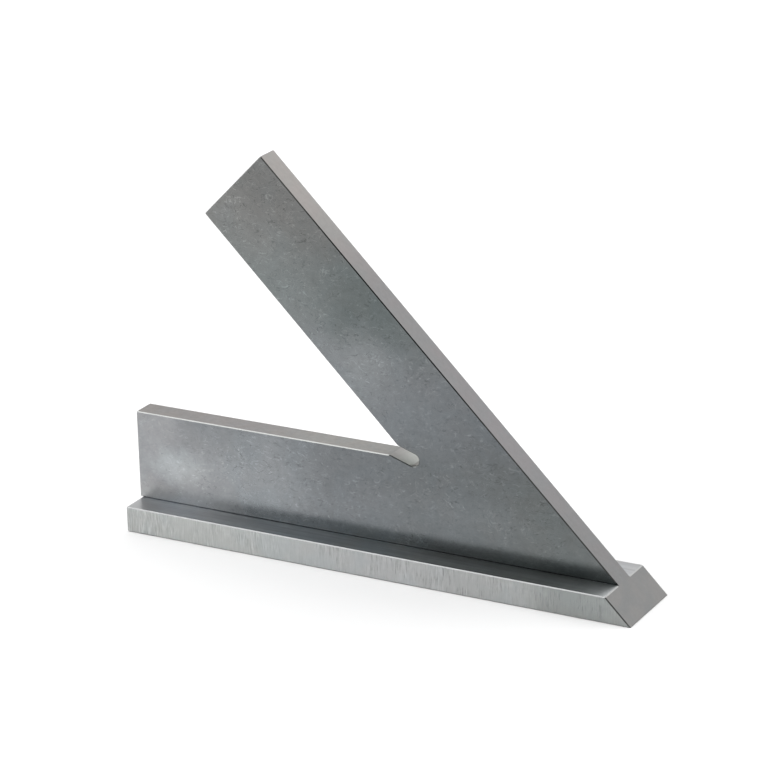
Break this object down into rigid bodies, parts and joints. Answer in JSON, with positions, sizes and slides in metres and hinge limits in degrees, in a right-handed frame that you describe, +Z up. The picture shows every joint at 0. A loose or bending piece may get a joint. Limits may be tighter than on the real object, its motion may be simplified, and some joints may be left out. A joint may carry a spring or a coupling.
{
  "type": "mitre square",
  "caption": "Mitre square for 45 degrees: a V-shaped ground steel blade with a relief slot in its inner corner, standing on a wider stop bar whose end is mitred flush with the arm.",
  "frame": {"origin": "middle of the overall length and thickness, on the underside of the stop bar, which the square stands on", "axes": "+X along the stop bar towards its mitred tip, +Y through the blade's thickness, +Z up from the stop bar into the blade"},
  "size_m": [0.1259, 0.0196, 0.0907],
  "materials": {
    "blade_steel": "flat ground, lightly oiled",
    "stop_steel": "ground across its length, edges broken",
    "screw_steel": "blackened",
    "dowel_steel": "centreless ground"
  },
  "bodies": {
    "root": {"mitre_blade": "blade_steel", "stop_bar": "stop_steel", "countersunk_screws": "screw_steel", "dowel_pins": "dowel_steel"}
  },
  "joints": []
}
